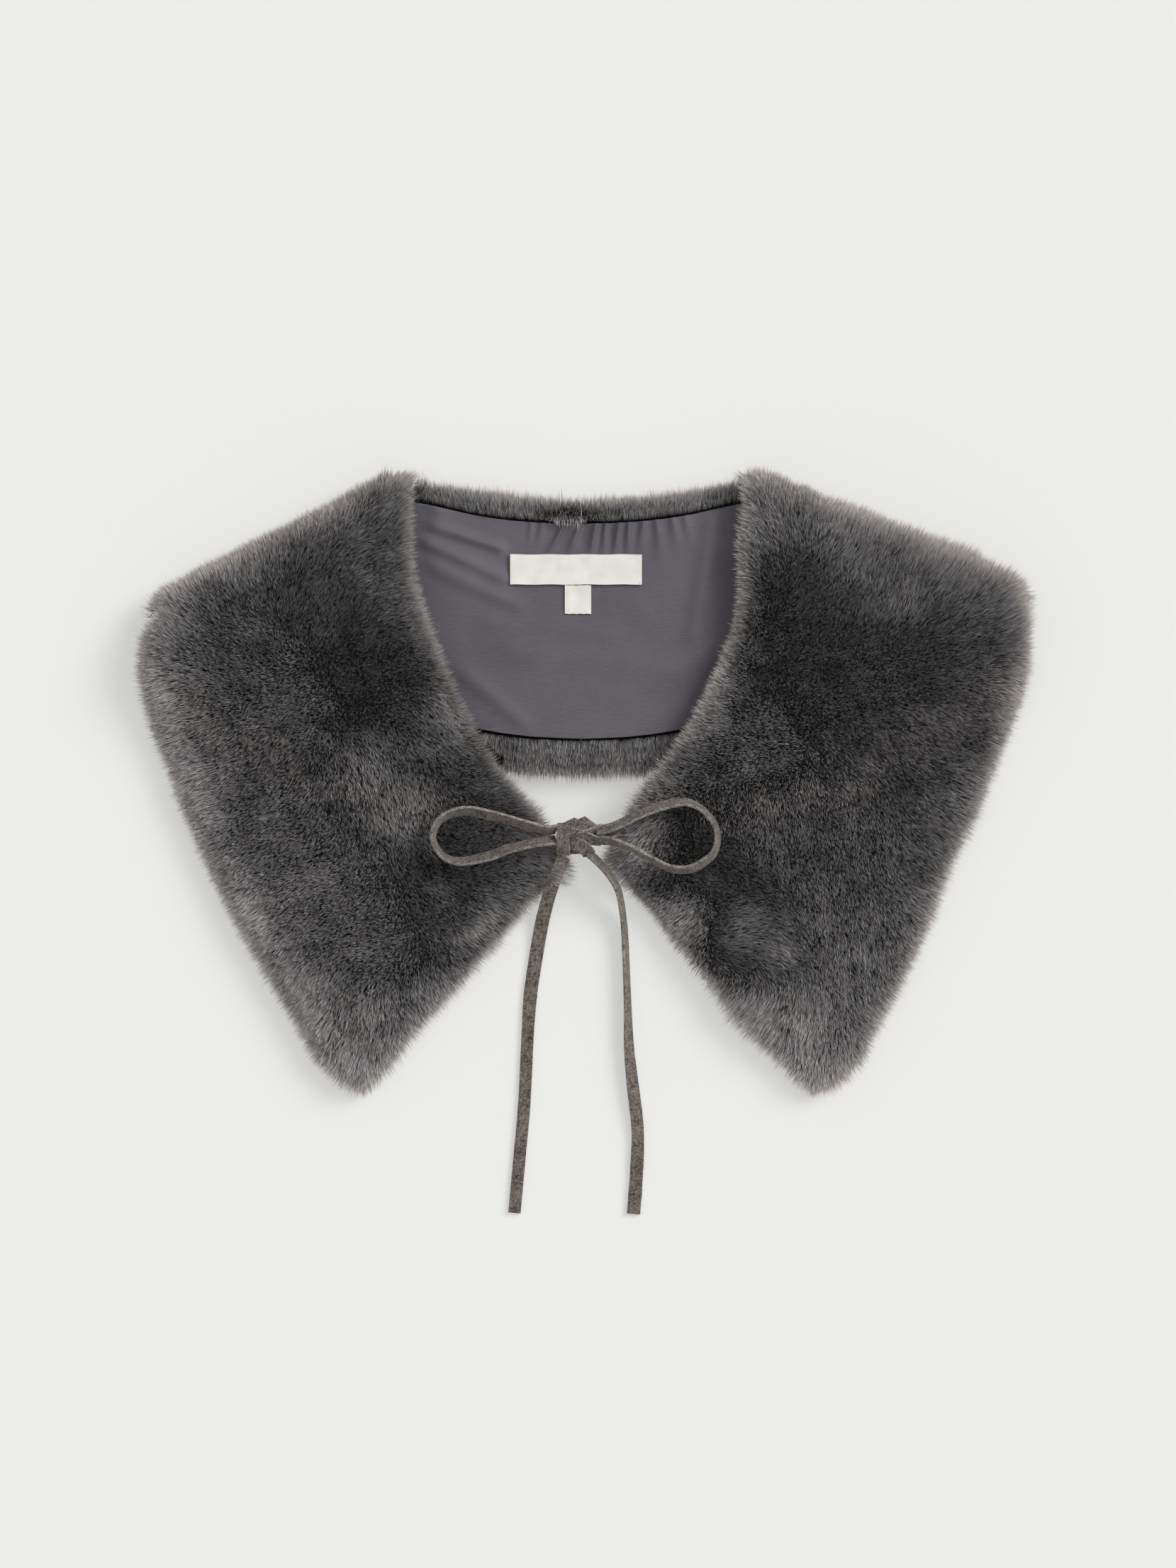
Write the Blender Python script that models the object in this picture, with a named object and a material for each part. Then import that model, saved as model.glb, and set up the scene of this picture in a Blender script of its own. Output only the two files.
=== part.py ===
"""Faux fur collar with a suede bow, laid flat: back panel lining up, both wings folded over on top.

Metres, +Z up. The back neck is towards +Y and the wing tips towards -Y. The origin is under the middle
of the collar, on the surface that it lies on. Tables hold lengths as shares of the named sizes.
"""

import math

import bmesh
import bpy
from mathutils import Vector

MM = 0.001

# Driving sizes of the collar
HALF_WIDTH = 204.5 * MM  # centre back to the widest point of a wing
LENGTH = 285 * MM  # shoulder peak to wing tip, along Y
BACK_PILE = 9 * MM  # fur of the back panel, pressed by its weight
WING_PILE = 14 * MM  # fur of the wings, standing free
EDGE_RUN = 13 * MM  # how far in from an edge the pile rounds over
LOCK_RISE = 2.2 * MM  # how far a lock of fur stands over its root
LOCK_COLUMNS = 3  # mesh steps in one lock, each way
CLEARANCE = 0.3 * MM  # air between pieces that touch
FOLD_RADIUS = 1.2 * MM  # inside radius of the shoulder fold
SAG_RUN = 50 * MM  # way in which a wing sinks from the back's hem to the surface
HEM_DROP = 2 * MM  # Y of the back's hem at the centre, over the middle of LENGTH
HEM_RISE = 74 * MM  # how much higher the hem is at HALF_WIDTH

# Lining, label and tab
LINING_THICKNESS = 1.0 * MM
NECK_BAND = 12 * MM  # fur that rolls over the lining at the neck
HEM_BAND = 18 * MM  # fur that rolls over the lining at the hem
LABEL_LENGTH = 60 * MM
LABEL_WIDTH = 13.7 * MM
LABEL_THICKNESS = 0.5 * MM
LABEL_ARCH = 0.7 * MM
LABEL_OFFSET = -2.4 * MM  # label's middle from the centre back, along X
LABEL_DROP = 33.1 * MM  # label's middle under the neck edge, along Y
TAB_WIDTH = 12 * MM
TAB_LENGTH = 13 * MM
TAB_OFFSET = 0.9 * MM  # tab's middle from the label's, along X

# Suede strap and its knot
STRAP_WIDTH = 6 * MM
STRAP_THICKNESS = 1.4 * MM
STRAP_STEP = 5 * MM
KNOT_CENTRE = (-2.0 * MM, -24.0 * MM, 17.4 * MM)
KNOT_LENGTH = 17 * MM
KNOT_WIDTH = 14 * MM
KNOT_HEIGHT = 8 * MM
WRAP_OVERHANG = 1.3 * MM  # how far the wrap stands over the rest of the knot
LEAD_LEVEL = 0.2  # share of KNOT_WIDTH in front of the knot's middle at which the leads leave the fur

# Leads, from the fur to the knot
LEADS = (
    # side, name, drop under the knot's plain part, Y of the upper end as a share of KNOT_WIDTH
    (-1, "tie_lead_left", WRAP_OVERHANG, 0.1),
    (1, "tie_lead_right", 0.0, -0.12),
)

# Ribs of the back panel, centre back to fold. Shares of HALF_WIDTH and LENGTH, Y from mid length.
# Lips are the height of the rolled fur over the lining, as shares of BACK_PILE.
BACK_RIBS = (
    # neck x, neck y, outer x, outer y, neck lip, hem lip
    (0.000, 0.458, 0.000, 0.007, 0.36, 0.36),
    (0.070, 0.459, 0.150, 0.013, 0.36, 0.20),
    (0.140, 0.462, 0.310, 0.034, 0.34, 0.05),
    (0.205, 0.467, 0.470, 0.066, 0.32, 0.00),
    (0.265, 0.474, 0.625, 0.110, 0.20, 0.00),
    (0.325, 0.479, 0.775, 0.166, 0.05, 0.00),
)

# Fold line of each half, which closes the back ribs and starts the wing ribs.
FOLD_LINE = {
    # neck x, neck y, outer x, outer y
    -1: (0.372, 0.474, 0.945, 0.262),
    1: (0.357, 0.470, 0.970, 0.283),
}

# Ribs of each wing after the fold, down to the front edge. Shares of HALF_WIDTH and LENGTH.
WING_RIBS = {
    -1: (
        # neck x, neck y, outer x, outer y
        (0.370, 0.415, 0.978, 0.232),
        (0.368, 0.362, 0.987, 0.170),
        (0.358, 0.312, 0.972, 0.122),
        (0.330, 0.250, 0.953, 0.072),
        (0.293, 0.182, 0.925, 0.022),
        (0.258, 0.128, 0.900, -0.030),
        (0.222, 0.082, 0.866, -0.086),
        (0.182, 0.032, 0.830, -0.146),
        (0.138, -0.008, 0.788, -0.206),
        (0.100, -0.040, 0.740, -0.270),
        (0.070, -0.070, 0.688, -0.330),
        (0.048, -0.096, 0.634, -0.392),
        (0.038, -0.114, 0.587, -0.453),
        (0.034, -0.130, 0.487, -0.499),
    ),
    1: (
        (0.350, 0.415, 0.993, 0.248),
        (0.340, 0.362, 1.000, 0.190),
        (0.345, 0.310, 0.985, 0.136),
        (0.335, 0.252, 0.959, 0.082),
        (0.300, 0.190, 0.929, 0.030),
        (0.265, 0.134, 0.900, -0.024),
        (0.228, 0.086, 0.860, -0.082),
        (0.178, 0.040, 0.823, -0.143),
        (0.142, -0.002, 0.793, -0.206),
        (0.108, -0.038, 0.754, -0.270),
        (0.082, -0.068, 0.712, -0.333),
        (0.062, -0.094, 0.662, -0.397),
        (0.056, -0.110, 0.617, -0.456),
        (0.046, -0.126, 0.516, -0.502),
    ),
}

# The rolled edge of the fur, from the edge inwards.
EDGE_PROFILE = (
    # share of EDGE_RUN, share of the pile
    (0.00, 0.36),
    (0.10, 0.60),
    (0.36, 0.86),
    (0.80, 1.00),
)

# Hollows and crests of the wings' fur. A crest has a negative depth.
DENTS = (
    # x share of HALF_WIDTH, y share of LENGTH, radius share of LENGTH, depth share of WING_PILE
    (-0.55, 0.140, 0.13, 0.16),
    (-0.31, 0.390, 0.07, -0.07),
    (-0.41, -0.085, 0.10, 0.15),
    (-0.66, 0.290, 0.10, -0.05),
    (-0.58, -0.300, 0.10, 0.08),
    (0.52, 0.230, 0.12, 0.16),
    (0.44, 0.390, 0.06, -0.08),
    (0.27, -0.150, 0.09, 0.14),
    (0.68, 0.235, 0.09, -0.05),
    (0.60, -0.120, 0.11, 0.10),
    (-0.22, -0.060, 0.10, 0.20),
    (0.21, -0.055, 0.10, 0.22),
    (-0.05, -0.145, 0.06, 0.30),
    (0.07, -0.150, 0.06, 0.22),
)

# Gathers of the lining under the neck band.
GATHERS = (
    # x share of HALF_WIDTH, half width and height as shares of NECK_BAND
    (-0.320, 0.35, 0.12),
    (-0.030, 0.28, 0.08),
    (0.030, 0.26, 0.11),
    (0.088, 0.28, 0.10),
    (0.145, 0.26, 0.12),
    (0.205, 0.30, 0.08),
)
GATHER_REACH = 13 * MM  # how far a pucker runs down from the neck band

# Routes of the straps: x, y and z in mm and the roll of the strap, 0 lying flat and 90 on its edge.
LOOP_LEFT = (
    (-11.4, -20.8, 19.2, 50),
    (-17.0, -21.0, 22.0, 55),
    (-24.5, -18.8, 24.2, 55),
    (-39.7, -14.8, 24.2, 50),
    (-52.6, -12.4, 23.2, 55),
    (-63.5, -16.2, 22.0, 68),
    (-67.2, -24.6, 20.4, 76),
    (-62.9, -32.6, 19.4, 70),
    (-54.8, -35.4, 19.0, 60),
    (-41.9, -33.0, 18.8, 52),
    (-33.2, -29.8, 21.2, 52),
    (-22.6, -27.2, 22.2, 55),
    (-16.0, -26.2, 21.2, 55),
    (-11.4, -25.8, 18.9, 50),
)
LOOP_RIGHT = (
    (7.4, -21.1, 19.4, 52),
    (12.0, -20.5, 20.8, 58),
    (18.0, -18.1, 24.0, 58),
    (31.6, -11.8, 26.6, 56),
    (45.2, -8.4, 25.6, 62),
    (53.4, -10.8, 23.6, 70),
    (59.6, -17.0, 22.4, 74),
    (61.8, -24.4, 20.8, 72),
    (59.8, -32.0, 19.4, 64),
    (53.2, -37.2, 18.6, 58),
    (47.0, -39.2, 18.4, 60),
    (39.4, -38.2, 18.6, 64),
    (29.4, -33.0, 20.4, 68),
    (21.0, -28.6, 21.8, 68),
    (13.0, -26.0, 20.4, 60),
    (7.4, -25.4, 17.6, 52),
)
TAIL_LEFT = (
    (-7.8, -33.4, 16.8, 24),
    (-9.2, -36.4, 16.5, 26),
    (-11.0, -40.4, 15.2, 26),
    (-12.8, -45.4, 12.9, 24),
    (-14.8, -51.5, 9.6, 20),
    (-16.6, -58.0, 5.6, 16),
    (-18.6, -67.0, 2.4, 8),
    (-21.3, -83.0, 1.2, 2),
    (-23.5, -99.0, 1.2, 2),
    (-24.8, -120.6, 1.2, 2),
    (-26.1, -146.8, 1.2, 2),
    (-28.1, -169.4, 1.2, 2),
    (-30.6, -196.5, 1.2, 2),
)
TAIL_RIGHT = (
    (3.6, -32.0, 17.0, 60),
    (7.0, -35.0, 17.6, 62),
    (10.8, -39.0, 16.8, 66),
    (14.4, -43.8, 16.0, 66),
    (17.2, -50.0, 12.0, 70),
    (19.0, -60.0, 6.6, 72),
    (20.0, -71.3, 4.2, 70),
    (20.7, -88.0, 3.8, 70),
    (21.3, -104.5, 3.7, 66),
    (21.8, -120.6, 3.4, 52),
    (23.4, -137.0, 3.0, 38),
    (25.5, -154.8, 2.3, 20),
    (25.8, -166.0, 1.8, 10),
    (25.0, -182.3, 1.4, 4),
    (23.9, -197.0, 1.3, 3),
)

# Mesh steps
BACK_STEPS = 15
FOLD_STEPS = 6
WING_STEPS = 24
ACROSS_STEPS = 13
LINING_ACROSS = 4
END_AT = 1.2  # ribs before the front edge at which the lining ends


def clear_scene():
    for thing in list(bpy.data.objects):
        bpy.data.objects.remove(thing, do_unlink=True)


def material(name, colour, roughness):
    made = bpy.data.materials.new(name)
    made.use_nodes = True
    shader = made.node_tree.nodes["Principled BSDF"]
    shader.inputs["Base Color"].default_value = (*colour, 1.0)
    shader.inputs["Roughness"].default_value = roughness
    shader.inputs["Metallic"].default_value = 0.0
    return made


def ease(share):
    share = min(max(share, 0.0), 1.0)
    return share * share * (3 - 2 * share)


def between(rows, place):
    """The row at a place counted in rows, on a smooth curve through all of them."""
    last = len(rows) - 1
    place = min(max(place, 0), last)
    index = min(int(place), last - 1)
    share = place - index
    before = rows[max(index - 1, 0)]
    after = rows[min(index + 2, last)]
    values = []
    for a, b, c, d in zip(before, rows[index], rows[index + 1], after):
        slope_b = (c - a) / 2
        slope_c = (d - b) / 2
        values.append(
            b
            + slope_b * share
            + (3 * (c - b) - 2 * slope_b - slope_c) * share**2
            + (2 * (b - c) + slope_b + slope_c) * share**3
        )
    return values


def hem_y(x):
    return HEM_DROP + HEM_RISE * (x / HALF_WIDTH) ** 2


def wing_level(x, y):
    """Height of a wing's underside: over the back panel, then sinking to the surface past its hem."""
    top = BACK_PILE + 2 * FOLD_RADIUS
    return top * (1 - ease((hem_y(x) - y) / SAG_RUN))


class Rib:
    """A cut across the collar, from its neck edge to its outer edge, at one place along a half."""

    def __init__(self, side, row, turn, pile, lips=(0.0, 0.0), end=None, lined=True):
        self.side = side
        self.turn = turn
        self.pile = pile
        self.lips = lips
        self.end = end
        self.lined = lined
        self.neck = Vector((side * row[0] * HALF_WIDTH, row[1] * LENGTH))
        self.outer = Vector((side * row[2] * HALF_WIDTH, row[3] * LENGTH))
        for point in (self.neck, self.outer):
            point.x = side * max(side * point.x, CLEARANCE / 2)
        self.width = (self.outer - self.neck).length
        along = (self.outer - self.neck) / self.width
        self.out = Vector((-side * along.y, side * along.x))

    def point(self, across, rise):
        """The place at a distance from the neck edge and a rise towards the fur's side."""
        plan = self.neck.lerp(self.outer, across / self.width)
        if self.turn == 180:
            return Vector((plan.x, plan.y, wing_level(plan.x, plan.y) + rise))
        radius = FOLD_RADIUS + rise
        angle = math.radians(self.turn)
        plan += self.out * radius * math.sin(angle)
        return Vector((plan.x, plan.y, BACK_PILE + FOLD_RADIUS - radius * math.cos(angle)))


def ribs_of(side):
    fold = FOLD_LINE[side]
    back_rows = BACK_RIBS + ((*fold, 0.0, 0.0),)
    wing_rows = (fold,) + WING_RIBS[side]
    ribs = []
    for step in range(BACK_STEPS):
        row = between(back_rows, step * (len(back_rows) - 1) / BACK_STEPS)
        ribs.append(Rib(side, row, 0, BACK_PILE, (row[4], row[5])))
    for step in range(FOLD_STEPS + 1):
        share = step / FOLD_STEPS
        pile = BACK_PILE + (WING_PILE - BACK_PILE) * share
        ribs.append(Rib(side, fold, 180 * share, pile))
    last = len(wing_rows) - 1
    stop = last - END_AT
    for step in range(1, WING_STEPS + 1):
        row = between(wing_rows, step * stop / WING_STEPS)
        ribs.append(Rib(side, row, 180, WING_PILE))
    row_run = (Vector(ribs[-1].outer) - ribs[-2].outer).length / (stop / WING_STEPS)
    edge_rows = EDGE_RUN / row_run
    ribs.append(Rib(side, between(wing_rows, stop + 0.06), 180, WING_PILE, lined=False))
    for share, pile_share in reversed(EDGE_PROFILE):
        row = between(wing_rows, last - share * edge_rows)
        ribs.append(Rib(side, row, 180, WING_PILE, end=pile_share, lined=False))
    return ribs


def lock_rise(rib_index, column):
    """Overlapping locks: each rises towards the outer edge and ends in a step, and rows are staggered."""
    lock_row = column // LOCK_COLUMNS
    along = (column % LOCK_COLUMNS + 0.5) / LOCK_COLUMNS
    sideways = ((rib_index + lock_row * 1.5) % LOCK_COLUMNS + 0.5) / LOCK_COLUMNS
    return LOCK_RISE * (along * math.sin(math.pi * sideways) - 1)


def dent_depth(place):
    total = 0.0
    for x_share, y_share, radius_share, depth_share in DENTS:
        away = math.hypot(place.x - x_share * HALF_WIDTH, place.y - y_share * LENGTH)
        total += depth_share * WING_PILE * math.exp(-((away / (radius_share * LENGTH)) ** 2))
    return total


def cloth_places(rib):
    """Distances from the neck edge at which both the lining and the recess for it have a point."""
    start = NECK_BAND + CLEARANCE
    stop = rib.width - HEM_BAND - CLEARANCE
    places = [start, start + 0.4 * GATHER_REACH, start + GATHER_REACH]
    run = stop - places[-1]
    return places + [places[-1] + run * step / LINING_ACROSS for step in range(1, LINING_ACROSS + 1)]


def fur_section(rib, index):
    """The closed outline of the fur on one rib: lip, rolled edge, pile, rolled edge, lip, recess."""
    top_scale = rib.end if rib.end is not None else 1.0
    low = 0.05 * rib.pile if rib.end is None else 0.36 * rib.pile * (1 - rib.end)
    half = []
    for share, pile_share in EDGE_PROFILE:
        half.append((share * EDGE_RUN, max(pile_share * top_scale, 0.3) * rib.pile))
    neck_lip = rib.lips[0] * BACK_PILE
    hem_lip = rib.lips[1] * BACK_PILE
    recess = LINING_THICKNESS + 2 * CLEARANCE if rib.lined else low
    points = [
        (NECK_BAND, recess),
        (NECK_BAND, min(low, 0) - 0.8 * neck_lip if rib.lined else low),
        (0.55 * NECK_BAND, -neck_lip if rib.end is None else low),
        (0.14 * EDGE_RUN, low),
    ]
    points += half
    inner_width = rib.width - 2 * EDGE_PROFILE[-1][0] * EDGE_RUN
    for column in range(1, ACROSS_STEPS):
        across = EDGE_PROFILE[-1][0] * EDGE_RUN + inner_width * column / ACROSS_STEPS
        rise = rib.pile * top_scale
        if rib.turn >= 90:
            rise += lock_rise(index, column) * top_scale
        if rib.turn == 180:
            rise -= dent_depth(rib.point(across, 0)) * top_scale
        points.append((across, rise))
    points += [(rib.width - across, rise) for across, rise in reversed(half)]
    points += [
        (rib.width - 0.14 * EDGE_RUN, low),
        (rib.width - 0.55 * HEM_BAND, -hem_lip if rib.end is None else low),
        (rib.width - HEM_BAND, min(low, 0) - 0.8 * hem_lip if rib.lined else low),
        (rib.width - HEM_BAND, recess),
    ]
    points += [(across, recess) for across in reversed(cloth_places(rib)[1:-1])]
    return [rib.point(across, rise) for across, rise in points]


def loft(name, sections, finish, sharp=50):
    """One closed body through sections with the same number of points."""
    shape = bmesh.new()
    rings = [[shape.verts.new(point) for point in section] for section in sections]
    for ring, following in zip(rings, rings[1:]):
        for index in range(len(ring)):
            after = (index + 1) % len(ring)
            shape.faces.new((ring[index], ring[after], following[after], following[index]))
    shape.faces.new(rings[0])
    shape.faces.new(list(reversed(rings[-1])))
    bmesh.ops.recalc_face_normals(shape, faces=shape.faces)
    bmesh.ops.triangulate(shape, faces=shape.faces)
    mesh = bpy.data.meshes.new(name)
    shape.to_mesh(mesh)
    shape.free()
    mesh.materials.append(finish)
    mesh.shade_smooth()
    mesh.set_sharp_from_angle(angle=math.radians(sharp))
    made = bpy.data.objects.new(name, mesh)
    bpy.context.scene.collection.objects.link(made)
    return made


def add_fur(name, side, finish):
    ribs = ribs_of(side)
    return loft(name, [fur_section(rib, index) for index, rib in enumerate(ribs)], finish)


def gather_rise(rib, across, x):
    """Height of the lining's puckers, which fade out from the neck band."""
    fade = 1 - (across - NECK_BAND) / GATHER_REACH
    if rib.turn or fade <= 0:
        return 0.0
    total = 0.0
    for x_share, half_width_share, height_share in GATHERS:
        away = (x - x_share * HALF_WIDTH) / (half_width_share * NECK_BAND)
        total += height_share * NECK_BAND * math.exp(-(away**2))
    return total * fade


def lining_section(rib):
    near = []
    far = []
    for across in cloth_places(rib):
        lifted = gather_rise(rib, across, rib.point(across, 0).x)
        near.append(rib.point(across, CLEARANCE - lifted))
        far.append(rib.point(across, CLEARANCE + LINING_THICKNESS - lifted))
    return near + list(reversed(far))


def add_lining(finish):
    sections = []
    for side in (-1, 1):
        lined = [rib for rib in ribs_of(side) if rib.lined]
        half = [lining_section(rib) for rib in lined]
        sections += reversed(half) if side < 0 else half
    return loft("lining", sections, finish)


def add_plate(name, centre, size, base, arch, finish):
    """A thin cloth plate, arched along X by a little."""
    sections = []
    steps = 8
    for step in range(steps + 1):
        share = step / steps
        x = centre[0] + (share - 0.5) * size[0]
        low = base + arch * math.sin(math.pi * share)
        sections.append(
            [
                Vector((x, centre[1] + sideways * size[1] / 2, low + up))
                for sideways, up in (
                    (-1, 0),
                    (1, 0),
                    (1, LABEL_THICKNESS),
                    (-1, LABEL_THICKNESS),
                )
            ]
        )
    return loft(name, sections, finish)


def add_labels(finish):
    base = BACK_PILE
    label_y = BACK_RIBS[0][1] * LENGTH - LABEL_DROP
    label_size = (LABEL_LENGTH, LABEL_WIDTH)
    add_plate("neck_label", (LABEL_OFFSET, label_y), label_size, base, LABEL_ARCH, finish)
    tab_y = label_y - LABEL_WIDTH / 2 - CLEARANCE - TAB_LENGTH / 2
    tab_size = (TAB_WIDTH, TAB_LENGTH)
    add_plate("size_tab", (LABEL_OFFSET + TAB_OFFSET, tab_y), tab_size, base, 0.0, finish)


def add_strap(name, route, finish):
    """A flat strap along a route, with the roll of each of its points."""
    rows = [[x * MM, y * MM, z * MM, roll] for x, y, z, roll in route]
    places = []
    for index in range(len(rows) - 1):
        run = (Vector(rows[index + 1][:3]) - Vector(rows[index][:3])).length
        steps = max(1, round(run / STRAP_STEP))
        places += [index + step / steps for step in range(steps)]
    places.append(len(rows) - 1)
    samples = [between(rows, place) for place in places]
    sections = []
    for index, sample in enumerate(samples):
        centre = Vector(sample[:3])
        ahead = Vector(samples[min(index + 1, len(samples) - 1)][:3])
        behind = Vector(samples[max(index - 1, 0)][:3])
        along = (ahead - behind).normalized()
        level = along.cross(Vector((0, 0, 1))).normalized()
        upright = level.cross(along).normalized()
        roll = math.radians(sample[3])
        wide = level * math.cos(roll) + upright * math.sin(roll)
        thick = wide.cross(along)
        sections.append(
            [
                centre + wide * STRAP_WIDTH / 2 * a + thick * STRAP_THICKNESS / 2 * b
                for a, b in ((-1, -1), (1, -1), (1, 1), (-1, 1))
            ]
        )
    return loft(name, sections, finish)


def rounded_block(name, centre, size, finish):
    bpy.ops.mesh.primitive_cube_add(size=1, location=centre)
    made = bpy.context.object
    made.name = name
    made.data.name = name
    made.scale = size
    bpy.ops.object.transform_apply(location=False, rotation=False, scale=True)
    bevel = made.modifiers.new("round", "BEVEL")
    bevel.width = min(size) * 0.3
    bevel.segments = 2
    made.data.materials.append(finish)
    return made


def add_knot(finish):
    """The knot: the crossed straps, and the wrap that holds them, in one body."""
    x, y, z = KNOT_CENTRE
    knot = rounded_block("tie_knot", (x, y, z), (KNOT_LENGTH, KNOT_WIDTH, KNOT_HEIGHT), finish)
    wrap_size = (STRAP_WIDTH, KNOT_WIDTH + 2 * WRAP_OVERHANG, KNOT_HEIGHT + 2 * WRAP_OVERHANG)
    wrap_x = x - KNOT_LENGTH / 2 + STRAP_WIDTH / 2 + WRAP_OVERHANG
    wrap = rounded_block("knot_wrap", (wrap_x, y, z), wrap_size, finish)
    wrap.hide_render = True
    wrap.display_type = "WIRE"
    union = knot.modifiers.new("wrap", "BOOLEAN")
    union.operation = "UNION"
    union.object = wrap
    return knot


def add_leads(finish):
    """Short straps from the front corner of each wing, under the bow, to the underside of the knot."""
    x, y, z = KNOT_CENTRE
    under = z - KNOT_HEIGHT / 2 - CLEARANCE - STRAP_WIDTH / 2
    for side, name, drop, aside in LEADS:
        lined = [rib for rib in ribs_of(side) if rib.lined]
        corner = min(lined, key=lambda rib: abs(rib.neck.y - (y - KNOT_WIDTH * LEAD_LEVEL)))
        edge = corner.point(0, EDGE_PROFILE[0][1] * corner.pile)
        away = (corner.neck - corner.outer).normalized()
        start = edge + Vector((away.x, away.y, 0)) * (CLEARANCE + STRAP_THICKNESS / 2)
        top = Vector((x + side * KNOT_LENGTH / 4, y + aside * KNOT_WIDTH, under - drop))
        start.z = top.z
        route = [(*(point / MM), 90) for point in (start, (start + top) / 2, top)]
        add_strap(name, route, finish)


def settle():
    """Moves everything so that the collar's box, without the ties, stands centred on the origin."""
    bpy.context.view_layer.update()
    corners = []
    for thing in bpy.data.objects:
        if not thing.name.startswith(("tie_", "knot_")):
            corners += [thing.matrix_world @ Vector(corner) for corner in thing.bound_box]
    low = [min(corner[axis] for corner in corners) for axis in range(3)]
    high = [max(corner[axis] for corner in corners) for axis in range(3)]
    move = Vector((-(low[0] + high[0]) / 2, -(low[1] + high[1]) / 2, -low[2]))
    for thing in bpy.data.objects:
        thing.location += move


def main():
    clear_scene()
    fur = material("charcoal_fur", (0.062, 0.060, 0.060), 0.9)
    cloth = material("lining_cloth", (0.105, 0.095, 0.115), 0.45)
    woven = material("label_cloth", (0.80, 0.78, 0.74), 0.8)
    suede = material("suede", (0.085, 0.075, 0.066), 0.9)
    add_fur("fur_half_left", -1, fur)
    add_fur("fur_half_right", 1, fur)
    add_lining(cloth)
    add_labels(woven)
    add_knot(suede)
    add_leads(suede)
    add_strap("tie_loop_left", LOOP_LEFT, suede)
    add_strap("tie_loop_right", LOOP_RIGHT, suede)
    add_strap("tie_tail_left", TAIL_LEFT, suede)
    add_strap("tie_tail_right", TAIL_RIGHT, suede)
    settle()


main()
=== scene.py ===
"""Looks of the faux fur collar: plush fur of real strands, twill lining, blank label, suede bow."""

import math

import bmesh
import bpy
import numpy as np
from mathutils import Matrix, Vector
from mathutils.bvhtree import BVHTree
from mathutils.kdtree import KDTree


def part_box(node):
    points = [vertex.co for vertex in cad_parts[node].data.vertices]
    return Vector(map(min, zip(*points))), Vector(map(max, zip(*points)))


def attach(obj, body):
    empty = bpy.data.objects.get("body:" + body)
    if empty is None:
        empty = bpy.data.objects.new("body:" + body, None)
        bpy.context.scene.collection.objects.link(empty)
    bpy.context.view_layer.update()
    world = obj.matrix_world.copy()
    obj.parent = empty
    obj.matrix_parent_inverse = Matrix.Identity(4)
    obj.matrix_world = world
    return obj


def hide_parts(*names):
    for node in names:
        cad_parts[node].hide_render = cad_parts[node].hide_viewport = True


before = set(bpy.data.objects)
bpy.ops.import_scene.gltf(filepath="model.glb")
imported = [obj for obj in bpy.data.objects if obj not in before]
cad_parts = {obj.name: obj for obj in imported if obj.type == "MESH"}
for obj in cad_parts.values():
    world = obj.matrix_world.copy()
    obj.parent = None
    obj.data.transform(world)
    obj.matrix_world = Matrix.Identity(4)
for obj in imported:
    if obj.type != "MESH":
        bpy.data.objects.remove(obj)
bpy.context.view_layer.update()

MM = 0.001
SEED = 11

# The photograph: its size, and its scale and centre over the collar
PHOTO_WIDTH = 1659
PHOTO_HEIGHT = 2212
PIXELS_PER_MM = 3.1
PHOTO_CENTRE = (3.06 * MM, -0.3 * MM)  # photo's middle, from the origin of the straps' routes
CAMERA_HEIGHT = 2.0
SENSOR = 36.0

# Fur
FUR_DEPTH = 5.5 * MM  # how far the roots lie under the outer form
EDGE_DEPTH = 4.0 * MM  # how much deeper the roots of the fringe lie
TIP_RISE = 0.8 * MM  # how far the tips stand past the outer form
FRINGE_RISE = 2.2 * MM  # how much further the fringe stands out
FUR_LENGTHS = (6.0 * MM, 20.0 * MM)
STRAND_WIDTH = 0.29 * MM
FLOOR_CLEARANCE = 0.25 * MM
SEAM_X = (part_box("fur_half_left")[1].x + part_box("fur_half_right")[0].x) / 2
SEAM_REACH = 0.4 * MM  # how near to the centre seam a face belongs to it
TOP_STRANDS = 88000  # in each of two pieces for a half
UNDER_STRANDS = 38000  # in one piece for the underside of a half

# How the nap lies, as groomed: x and y in mm, where the tips point in degrees from +X, their
# lean from upright in degrees
NAP_LEFT = (
    (-119, 124, 65, 60),
    (-158, 102, 95, 56),
    (-195, 79, 140, 62),
    (-202, 40, 190, 62),
    (-187, -5, 205, 60),
    (-161, -63, 215, 58),
    (-129, -105, 230, 56),
    (-100, -131, 255, 62),
    (-71, -105, 300, 56),
    (-39, -63, 335, 55),
    (-19, -31, 345, 52),
    (-16, -42, 350, 64),
    (-26, 8, 30, 52),
    (-45, 47, 20, 55),
    (-68, 85, 10, 55),
    (-77, 124, 45, 52),
    (-158, 66, 150, 25),
    (-119, 82, 60, 30),
    (-97, 102, 20, 42),
    (-135, 34, 205, 26),
    (-97, 47, 20, 15),
    (-98, 8, 300, 40),
    (-84, -15, 295, 42),
    (-58, 34, 315, 45),
    (-142, -15, 210, 26),
    (-119, -47, 200, 30),
    (-97, -73, 190, 28),
    (-65, -56, 330, 28),
    (-45, -31, 20, 34),
    (-103, -105, 250, 38),
)
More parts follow.
